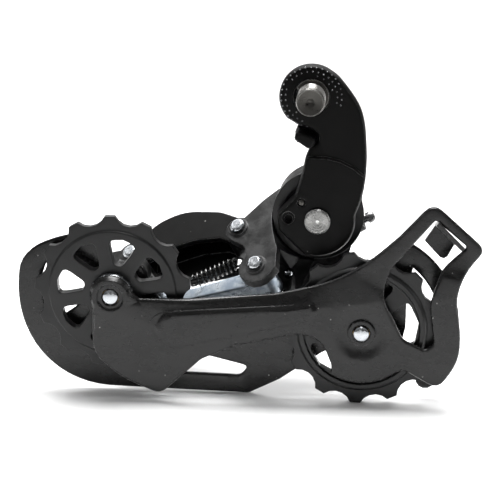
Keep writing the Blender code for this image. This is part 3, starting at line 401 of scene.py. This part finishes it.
def cap(bm, row, apex=None):
    """Closes a row, flat or to a point."""
    if apex is None:
        bm.faces.new(row)
        return
    tip = bm.verts.new(apex)
    for i in range(len(row)):
        bm.faces.new((row[i], row[(i + 1) % len(row)], tip))


WIRE_SIDES = 10
DOME_START, DOME_HEIGHT = 0.72, 0.3        # of the wire's radius


def circle(count):
    """Angles of count points, evenly round a turn."""
    return [2 * math.pi * k / count for k in range(count)]


def tube(path, radius):
    """A round wire along a path, with domed ends; the section is carried without twist."""
    bm = bmesh.new()
    tangents = []
    for i in range(len(path)):
        ahead = path[min(i + 1, len(path) - 1)] - path[max(i - 1, 0)]
        tangents.append(ahead.normalized())
    normal = tangents[0].orthogonal().normalized()
    rows = []
    last = len(path) - 1
    for i, (point, tangent) in enumerate(zip(path, tangents)):
        normal = (normal - tangent * normal.dot(tangent)).normalized()
        across = tangent.cross(normal)
        size = radius * (DOME_START if i in (0, last) else 1.0)
        rows.append([bm.verts.new(point + (normal * math.cos(t) + across * math.sin(t)) * size)
                     for t in circle(WIRE_SIDES)])
    skin(bm, rows)
    cap(bm, rows[0], path[0] - tangents[0] * radius * DOME_HEIGHT)
    cap(bm, rows[-1], path[-1] + tangents[-1] * radius * DOME_HEIGHT)
    return bm


# Hanger bolt: M10 x 1 thread, turned end with a centre mark, shouldered head with a hexagon socket.

def make_bolt():
    """Turned in rows along its axis, from the bottom of the socket to the tip of the thread."""
    steps = 64
    pitch, crest, root = 1.0, 4.95, 4.42
    slices_per_pitch = 8
    thread_low, thread_high = -0.5, 8.75
    head, socket_depth, end = -12.6, 4.6, 9.5
    bm = bmesh.new()
    rows = []

    def row(z, radius_at):
        ring = [(radius_at(t), t) for t in circle(steps)]
        points = [facing_point(BOLT_AXIS, r * math.cos(t), r * math.sin(t), z) for r, t in ring]
        rows.append([bm.verts.new(point) for point in points])

    def circle_row(z, radius):
        row(z, lambda t: radius)

    def hexagon_row(z, flat):
        def radius(t):
            turn = (t + math.pi / 6) % (math.pi / 3) - math.pi / 6
            return flat / math.cos(turn)
        row(z, radius)

    socket_flat = 2.5
    hexagon_row(head + socket_depth, 0.02)
    hexagon_row(head + socket_depth, socket_flat)
    hexagon_row(head + 0.35, socket_flat)
    hexagon_row(head, 2.85)
    for z, radius in ((head, 3.4), (head, 6.5), (head + 0.12, 6.85), (head + 0.5, 7.3), (head + 1.2, 7.95),
                      (head + 1.5, 8.0), (-7.75, 8.0), (-7.3, 7.8), (-7.02, 7.4), (-7.0, 7.2), (-7.0, 5.1),
                      (-6.9, 4.95), (-1.6, 4.95), (-1.5, 4.9), (-1.45, 4.1), (-0.6, 4.1), (-0.5, 4.42)):
        circle_row(z, radius)
    slices = int((thread_high - thread_low) / (pitch / slices_per_pitch))
    for i in range(1, slices + 1):
        z = thread_low + (thread_high - thread_low) * i / slices
        ends = min(1.0, (z - thread_low) / 0.9, (end - 0.25 - z) / 0.75)

        def radius(t, z=z, ends=ends):
            phase = (z / pitch + t / (2 * math.pi)) % 1.0
            wave = min(1.0, max(0.0, abs(phase - 0.5) * 2.6 - 0.15))
            return root + (crest - root) * wave * max(0.0, ends)
        row(z, radius)
    for z, radius in ((8.85, 4.55), (9.0, 4.72), (end - 0.22, 4.72), (end - 0.05, 4.62), (end, 4.45),
                      (end - 0.04, 4.3), (end - 0.16, 4.2), (end - 0.2, 4.0), (end - 0.2, 1.75),
                      (end - 0.26, 1.5), (end - 0.55, 1.3), (end - 1.1, 0.45)):
        circle_row(z, radius)
    skin(bm, rows)
    cap(bm, rows[0])
    cap(bm, rows[-1], facing_point(BOLT_AXIS, 0, 0, end - 1.3))
    bolt = add_piece("hanger_bolt", bm, "dark_steel", "mounting_bolt", ("mounting_bolt",))
    split = bolt.modifiers.new("crisp", "EDGE_SPLIT")
    split.split_angle = math.radians(50)


make_bolt()


# Springs.

def helix(start, along, across, up, radius, turns, length, per_turn):
    """Points of a coil, from start on its axis; across, up and along are its directions."""
    points = []
    for i in range(int(turns * per_turn) + 1):
        t = i / per_turn
        angle = 2 * math.pi * t
        points.append(start + along * (length * t / turns)
                      + (across * math.cos(angle) + up * math.sin(angle)) * radius)
    return points


def make_pivot_spring(name, body, centre, radius, wire, low, high, turns, replaced):
    """Torsion spring round a pivot, its two ends tucked along the axis."""
    along = Vector((0, -1, 0))
    start = facing_point(centre, 0, 0, low + wire)
    length = (high - low - 2 * wire) * MM
    path = helix(start, along, Vector((1, 0, 0)), Vector((0, 0, 1)), radius * MM, turns, length, 28)
    add_piece(name, tube(path, wire * MM), "spring_steel", body, replaced)


make_pivot_spring("b_spring_coil", "upper_knuckle", B_PIVOT, 7.7, 1.2, -16.4, -6.2, 3.6, ("b_spring",))


def hook(tip, away, across, radius):
    """Three quarters of a turn that leaves the tip of a coil, in the plane of away and across."""
    steps = 14
    gap, tall, tucked = 0.4 * MM, 1.15, 0.6
    points = []
    for i in range(1, steps + 1):
        angle = math.pi * 1.5 * (i / steps)
        height = math.sin(angle) * radius * tall * (1 if angle < math.pi else tucked)
        points.append(tip + away * (gap + height) - across * radius * (1 - math.cos(angle)))
    return points


def make_return_spring():
    """Extension spring across the parallelogram, with a hook at each end."""
    first = link_point(4.6, 7.6, -9.4)
    last = link_point(20.9, 11.8, -9.4)
    wire, radius = 0.44 * MM, 2.3 * MM
    turns, pitch = 9, 1.76 * MM
    along = (last - first).normalized()
    across = PINS.copy()
    up = across.cross(along).normalized()
    length = turns * pitch
    start = (first + last) / 2 - along * length / 2
    coil = helix(start, along, across, up, radius, turns, length, 22)
    path = hook(coil[0], -along, across, radius)[::-1] + coil + hook(coil[-1], along, across, radius)
    add_piece("return_spring_coil", tube(path, wire), "spring_steel", "inner_link", ("return_spring",))


make_return_spring()


# Fine pieces of the pressings.

def make_link_lip():
    """Rolled lip along the lower flange of the outer link, on the side of the spring."""
    start, length = 1.6, 34.3
    foot, low, rise = 7.2, 7.7, 2.3
    back, front = -14.8, -13.2
    steps = 28
    bm = bmesh.new()
    rows = []
    for i in range(steps + 1):
        t = i / steps
        reach = min(1.0, t * 24.0, (1.0 - t) * 5.0)
        crest = low + rise * math.sin(reach * math.pi / 2)
        section = [(foot, back), (crest - 0.7, back), (crest - 0.2, -14.6), (crest, -14.1),
                   (crest - 0.2, -13.6), (crest - 0.7, -13.4), (foot, front)]
        rows.append([bm.verts.new(link_point(start + length * t, y, z)) for y, z in section])
    skin(bm, rows)
    cap(bm, rows[0])
    cap(bm, rows[-1])
    add_piece("outer_link_lip", bm, "satin_black_plate", "outer_link")


make_link_lip()


def make_rib_shoulder():
    """The crisp shoulder along the top of the cage plate's pressed rib, fading out at both ends."""
    mesh = frame["nodes"]["inner_cage_plate"].data
    surface = BVHTree.FromPolygons([v.co for v in mesh.vertices], [p.vertices[:] for p in mesh.polygons])
    # The rib's upper edge in the world's x and z, in millimetres, from the guide pulley's end.
    corners = [(-55.0, -77.0), (-53.6, -75.2), (-51.6, -73.9), (-49.0, -73.1), (-46.0, -72.75),
               (-36.0, -71.95), (-26.0, -71.2), (-16.0, -70.4), (-8.4, -69.8), (-4.0, -69.2)]
    steps = 6
    in_front, inward = -0.05, Vector((0, 1, 0))
    path = []
    for (x0, z0), (x1, z1) in zip(corners, corners[1:]):
        for k in range(steps):
            x, z = x0 + (x1 - x0) * k / steps, z0 + (z1 - z0) * k / steps
            hit = surface.ray_cast(Vector((x * MM, in_front, z * MM)), inward)[0]
            if hit:
                path.append(hit)
    bead = tube(path, 0.26 * MM)
    bead.verts.ensure_lookup_table()
    last = len(path) - 1
    fade_in, fade_out, thinnest = 9, 12, 0.25
    for i, point in enumerate(path):
        share = min(1.0, i / fade_in, (last - i) / fade_out)
        for vertex in bead.verts[i * WIRE_SIDES:(i + 1) * WIRE_SIDES]:
            vertex.co = point + (vertex.co - point) * (thinnest + (1 - thinnest) * share)
    add_piece("cage_rib_shoulder", bead, "satin_black_plate", "cage")


make_rib_shoulder()
make_pivot_spring("p_spring_coil", "lower_knuckle", P_PIVOT, 4.55, 0.62, 1.62, 4.18, 2.1, ("p_spring",))


# Knurl on the bracket's clamping face.

KNURL_ARCS = ((7.5, 20, 75), (8.9, -12, 250), (10.4, -15, 262))     # radius, first and last angle
KNURL_SPACING = 1.9
KNURL_BREAK = (138, 156)     # left plain on the inner arcs
OUTER_ARC = 10


def make_knurl(name, slot, size, low, height):
    """Small domed teeth in arcs round the bolt."""
    bm = bmesh.new()
    for radius, first, last in KNURL_ARCS:
        count = int(math.radians(last - first) * radius / KNURL_SPACING)
        for k in range(count + 1):
            angle = math.radians(first + (last - first) * k / count)
            if KNURL_BREAK[0] < math.degrees(angle) < KNURL_BREAK[1] and radius < OUTER_ARC:
                continue
            cx, cy = radius * math.cos(angle), radius * math.sin(angle)
            rows = []
            for z, r in ((low, size), (low + (height - low) * 0.6, size * 0.85), (height, size * 0.45)):
                ring = [(cx + r * math.cos(t), cy + r * math.sin(t)) for t in circle(8)]
                rows.append([bm.verts.new(facing_point(BOLT_AXIS, x, y, z)) for x, y in ring])
            skin(bm, rows)
            cap(bm, rows[0])
            cap(bm, rows[-1], facing_point(BOLT_AXIS, cx, cy, height * 1.1))
    add_piece(name, bm, slot, "bracket")


make_knurl("bracket_knurl", "matte_black_casting", 0.36, -0.05, 0.16)
# Bare zinc on the tips of the teeth: paint gone from them, and also painted glints on the knurl.
make_knurl("bracket_knurl_bare_glint_tips", "bright_zinc", 0.2, 0.1, 0.22)


# ---------------------------------------------------------------- stage, light, camera

def make_floor():
    """Pale paper at the height of the lowest tooth at rest."""
    level = -0.1068
    bm = bmesh.new()
    corners = [bm.verts.new((x, y, level)) for x, y in ((-6, -6), (6, -6), (6, 12), (-6, 12))]
    bm.faces.new(corners)
    mesh = bpy.data.meshes.new("floor")
    bm.to_mesh(mesh)
    bm.free()
    floor = bpy.data.objects.new("floor", mesh)
    bpy.context.scene.collection.objects.link(floor)
    paper = bpy.data.materials.new("floor_paper")
    paper.use_nodes = True
    shader = paper.node_tree.nodes["Principled BSDF"]
    shader.inputs["Base Color"].default_value = (0.9, 0.9, 0.9, 1.0)
    shader.inputs["Roughness"].default_value = 0.9
    shader.inputs["Specular IOR Level"].default_value = 0.1
    mesh.materials.append(paper)


def make_light(name, position, target, size, power, spread=180):
    """A soft rectangular light, in metres and watts, aimed at a target."""
    data = bpy.data.lights.new(name, "AREA")
    data.spread = math.radians(spread)
    data.shape = "RECTANGLE"
    data.size, data.size_y = size
    data.energy = power
    light = bpy.data.objects.new(name, data)
    light.location = position
    light.rotation_euler = (Vector(target) - Vector(position)).to_track_quat("-Z", "Y").to_euler()
    bpy.context.scene.collection.objects.link(light)


def make_world():
    """A dim studio: dark at the horizon, paler overhead, so that dark gloss keeps its contrast."""
    world = bpy.data.worlds.new("studio")
    world.use_nodes = True
    tree = world.node_tree
    background = tree.nodes["Background"]
    direction = tree.nodes.new("ShaderNodeTexCoord").outputs["Generated"]
    parts = tree.nodes.new("ShaderNodeSeparateXYZ")
    tree.links.new(direction, parts.inputs["Vector"])
    level = tree.nodes.new("ShaderNodeMapRange")
    level.inputs["From Min"].default_value = 0.0
    level.inputs["From Max"].default_value = 0.7
    level.inputs["To Min"].default_value = 0.06
    level.inputs["To Max"].default_value = 0.38
    tree.links.new(parts.outputs["Z"], level.inputs["Value"])
    tree.links.new(level.outputs["Result"], background.inputs["Strength"])
    background.inputs["Color"].default_value = (1.0, 1.0, 1.0, 1.0)
    bpy.context.scene.world = world


def make_camera():
    """A long lens, a little above the part and a little to its right."""
    turn, tilt = math.radians(4.5), math.radians(17.0)
    ahead = Vector((-math.sin(turn) * math.cos(tilt), math.cos(turn) * math.cos(tilt), -math.sin(tilt)))
    right = Vector((math.cos(turn), math.sin(turn), 0.0))
    above = right.cross(ahead)
    place = (0.02389, -0.57201, 0.12019)
    camera = bpy.data.objects.new("camera", bpy.data.cameras.new("camera"))
    camera.matrix_world = Matrix.Translation(place) @ Matrix((right, above, -ahead)).transposed().to_4x4()
    camera.data.lens = 122.4
    camera.data.sensor_width = 36.0
    camera.data.clip_start, camera.data.clip_end = 0.01, 50.0
    bpy.context.scene.collection.objects.link(camera)
    bpy.context.scene.camera = camera


make_floor()
make_world()
make_light("overhead", (-0.02, 0.12, 0.62), (-0.02, 0.08, -0.05), (0.42, 0.3), 2.0, 80)
make_light("backdrop", (0.0, 1.7, 1.5), (0.0, 1.5, -0.1), (3.2, 2.6), 75.0)
make_light("left", (-0.75, 0.05, 0.3), (-0.02, 0.0, -0.05), (0.12, 0.5), 0.8)
make_light("right", (0.7, 0.1, 0.12), (0.0, 0.0, -0.05), (0.12, 0.4), 0.8)
make_camera()
bpy.context.scene.view_settings.view_transform = "Standard"
